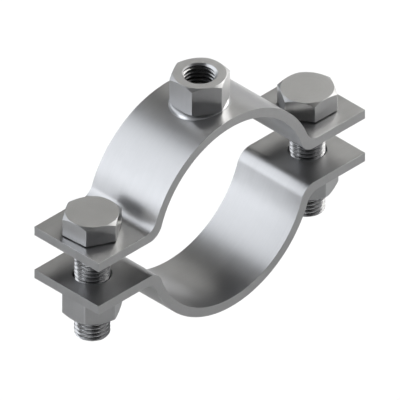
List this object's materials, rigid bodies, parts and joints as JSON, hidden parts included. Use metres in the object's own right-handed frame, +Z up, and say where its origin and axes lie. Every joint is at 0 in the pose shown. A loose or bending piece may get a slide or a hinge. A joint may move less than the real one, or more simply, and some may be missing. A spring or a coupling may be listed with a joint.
{
  "type": "heavy-duty pipe clamp",
  "caption": "Two-part heavy-duty pipe clamp bent from flat steel strip, closed by hexagon bolts and nuts, with a threaded connection nut welded on top.",
  "frame": {"origin": "on the pipe's axis, in the middle of the band's width and of the gap between the ears", "axes": "+X along the ears to the right bolt, +Y along the pipe, +Z up towards the connection nut"},
  "size_m": [0.166, 0.04, 0.1157],
  "materials": {
    "band_steel": "satin zinc-coated strip",
    "bolt_steel": "satin zinc-coated fastener",
    "nut_steel": "satin zinc-coated fastener",
    "weld_steel": "smooth zinc-coated weld"
  },
  "bodies": {
    "upper_body": {"upper_half": "band_steel", "connection_nut": "nut_steel", "connection_weld": "weld_steel"},
    "lower_body": {"lower_half": "band_steel"},
    "left_bolt": {"left_bolt": "bolt_steel"},
    "right_bolt": {"right_bolt": "bolt_steel"},
    "left_nut": {"left_nut": "nut_steel"},
    "right_nut": {"right_nut": "nut_steel"}
  },
  "joints": [
    {"name": "lower_half_slide", "type": "slide", "parent": "upper_body", "child": "lower_body", "axis": [0, 0, 1], "range_m": [-0.01241, 0.01821]},
    {"name": "left_bolt_turn", "type": "hinge", "parent": "upper_body", "child": "left_bolt", "pos_m": [-0.067, 0, 0.01385], "axis": [0, 0, 1], "continuous": true},
    {"name": "right_bolt_turn", "type": "hinge", "parent": "upper_body", "child": "right_bolt", "pos_m": [0.067, 0, 0.01385], "axis": [0, 0, 1], "continuous": true},
    {"name": "left_nut_turn", "type": "hinge", "parent": "lower_body", "child": "left_nut", "pos_m": [-0.067, 0, -0.01385], "axis": [0, 0, 1], "range_deg": [-2235, 3279]},
    {"name": "right_nut_turn", "type": "hinge", "parent": "lower_body", "child": "right_nut", "pos_m": [0.067, 0, -0.01385], "axis": [0, 0, 1], "range_deg": [-2235, 3279]}
  ],
  "couplings": [
    {"joint": "left_nut_turn", "follows": "lower_half_slide", "rad_per_m": 3141.6},
    {"joint": "right_nut_turn", "follows": "lower_half_slide", "rad_per_m": 3141.6}
  ]
}
